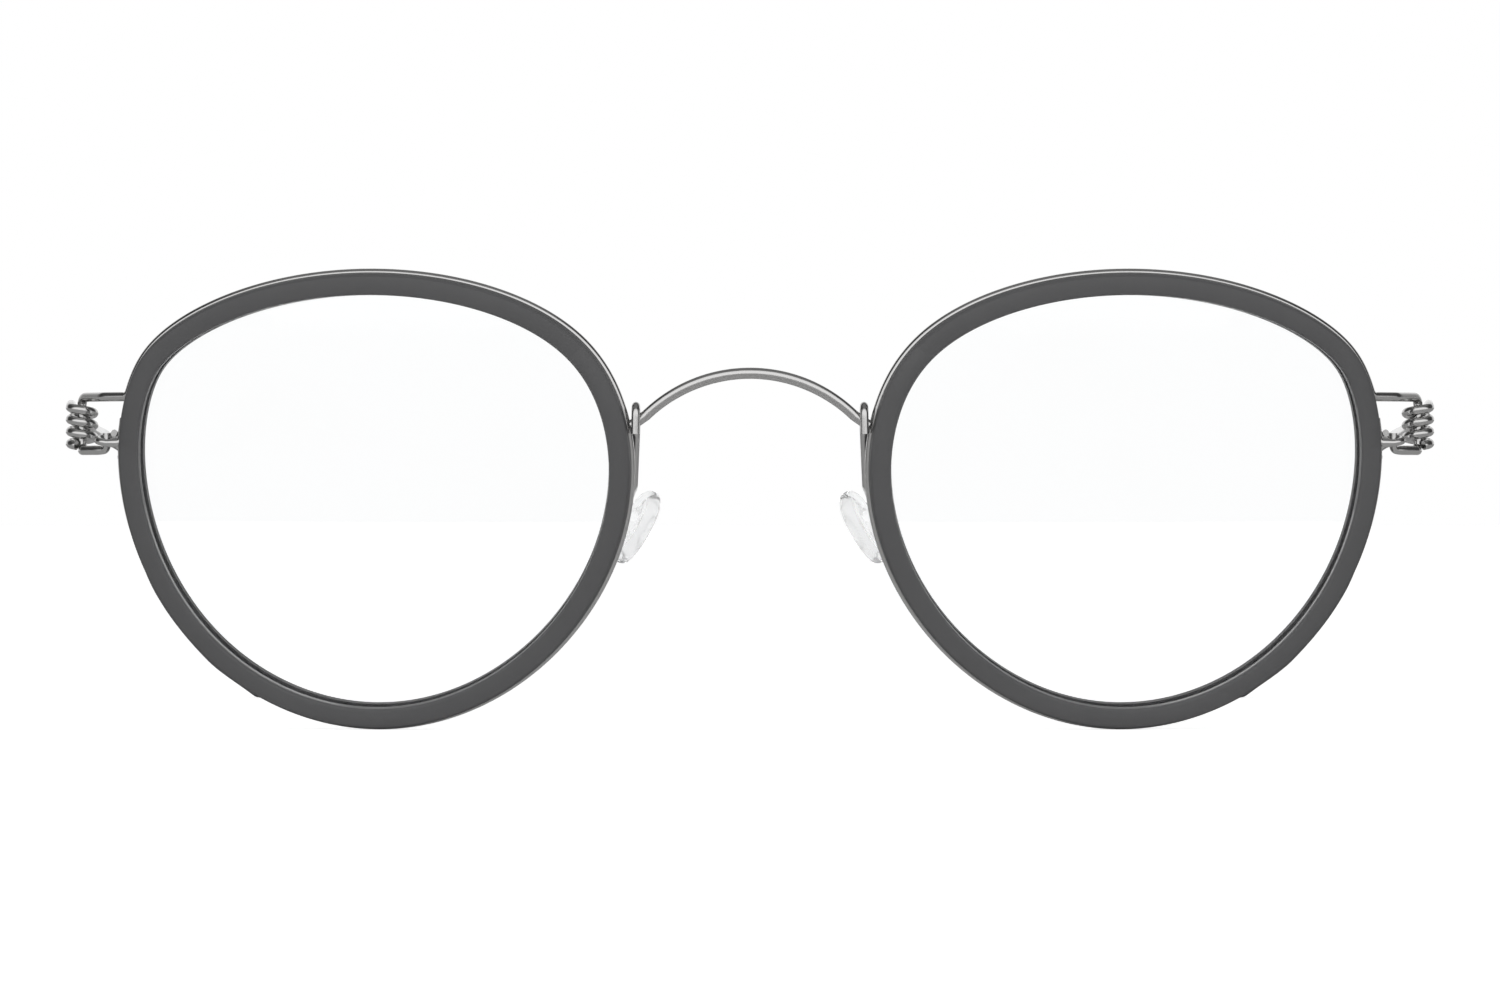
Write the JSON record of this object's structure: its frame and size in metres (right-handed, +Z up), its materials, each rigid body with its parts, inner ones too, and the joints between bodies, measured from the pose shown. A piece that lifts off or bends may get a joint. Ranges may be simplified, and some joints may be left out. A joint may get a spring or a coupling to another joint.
{
  "type": "eyeglasses",
  "caption": "Round eyeglasses with clear lenses, slim grey rims bound in thin wire, and wire temples that fold on coiled screwless hinges.",
  "frame": {"origin": "middle of the outline, on the table the open glasses stand on", "axes": "+X to the wearer's left, +Y back along the temples, +Z up"},
  "size_m": [0.1356, 0.1412, 0.0443],
  "materials": {
    "titanium": "gloss",
    "acetate": "satin",
    "lens": "gloss",
    "silicone": "satin",
    "sleeve": "satin"
  },
  "bodies": {
    "front": {"lens_left": "lens", "lens_right": "lens", "acetate_rim_left": "acetate", "acetate_rim_right": "acetate", "rim_wire_left": "titanium", "rim_wire_right": "titanium", "pad_arm_left": "titanium", "pad_arm_right": "titanium", "nose_pad_left": "silicone", "nose_pad_right": "silicone", "bridge": "titanium"},
    "temple_arm_left": {"temple_left": "titanium", "temple_sleeve_left": "sleeve"},
    "temple_arm_right": {"temple_right": "titanium", "temple_sleeve_right": "sleeve"}
  },
  "joints": [
    {"name": "temple_fold_left", "type": "hinge", "parent": "front", "child": "temple_arm_left", "pos_m": [0.0647, -0.0571, 0.03], "axis": [0, 0, 1], "range_deg": [0, 86]},
    {"name": "temple_fold_right", "type": "hinge", "parent": "front", "child": "temple_arm_right", "pos_m": [-0.0647, -0.0571, 0.03], "axis": [0, 0, 1], "range_deg": [-79, 0]}
  ]
}
